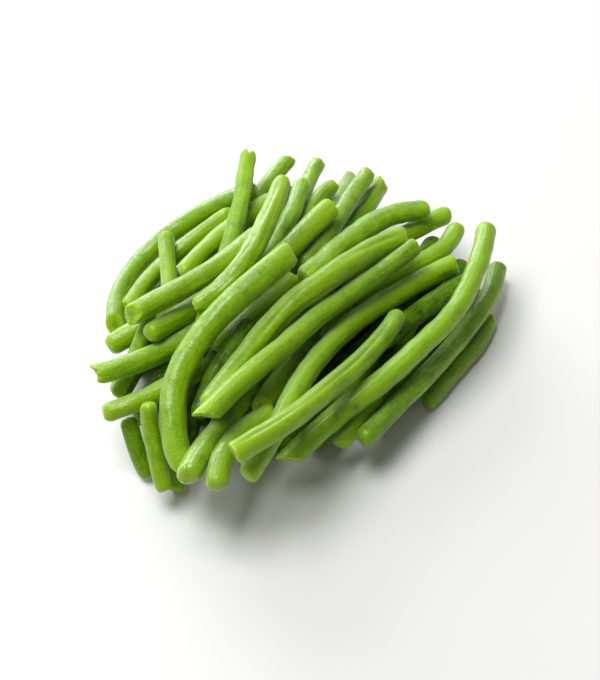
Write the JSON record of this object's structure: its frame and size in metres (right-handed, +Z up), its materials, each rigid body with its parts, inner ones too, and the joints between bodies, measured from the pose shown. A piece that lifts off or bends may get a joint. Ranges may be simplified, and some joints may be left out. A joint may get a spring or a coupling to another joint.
{
  "type": "green bean bundle",
  "caption": "Bunch of trimmed, cooked green beans lying in a loose heap, most of them pointing the same way, with cut and rounded ends.",
  "frame": {"origin": "middle of the bounding box's base, on the surface that the beans lie on", "axes": "+Z up, +Y away from the side that the heap is seen from, +X to the right as seen from there"},
  "size_m": [0.1336, 0.1548, 0.0487],
  "materials": {
    "bean_skin": "satin"
  },
  "bodies": {
    "root": {"back_curled": "bean_skin", "back_cut_top": "bean_skin", "back_left_slant": "bean_skin", "back_long": "bean_skin", "back_long_ragged": "bean_skin", "back_middle": "bean_skin", "back_right_short": "bean_skin", "back_short": "bean_skin", "back_torn_upright": "bean_skin", "back_wavy": "bean_skin", "bed_high_1": "bean_skin", "bed_high_2": "bean_skin", "bed_high_3": "bean_skin", "bed_high_4": "bean_skin", "bed_high_5": "bean_skin", "bed_high_6": "bean_skin", "bed_high_7": "bean_skin", "bed_low_10": "bean_skin", "bed_low_11": "bean_skin", "bed_low_2": "bean_skin", "bed_low_3": "bean_skin", "bed_low_4": "bean_skin", "bed_low_5": "bean_skin", "bed_low_6": "bean_skin", "bed_low_7": "bean_skin", "bed_low_8": "bean_skin", "bed_low_9": "bean_skin", "deep_left_gap": "bean_skin", "deep_left_low": "bean_skin", "deep_right_gap": "bean_skin", "front_dark_inner": "bean_skin", "front_hooked_end": "bean_skin", "front_knobbly": "bean_skin", "front_left_hook": "bean_skin", "front_long": "bean_skin", "left_low_cross": "bean_skin", "left_low_inner": "bean_skin", "left_low_notched": "bean_skin", "left_low_pale": "bean_skin", "left_rim_long": "bean_skin", "left_rim_pale": "bean_skin", "left_second": "bean_skin", "left_short_upright": "bean_skin", "left_under": "bean_skin", "left_upper_cross": "bean_skin", "lower_left_dark": "bean_skin", "lower_left_speckled": "bean_skin", "lower_left_upright": "bean_skin", "middle_cut_bright": "bean_skin", "middle_dark": "bean_skin", "middle_left_cut": "bean_skin", "middle_long_bright": "bean_skin", "middle_long_grooved": "bean_skin", "middle_round_end": "bean_skin", "right_curved": "bean_skin", "right_dark_outer": "bean_skin", "right_long_shaded": "bean_skin", "right_long_upper": "bean_skin", "right_upper_short": "bean_skin"}
  },
  "joints": []
}
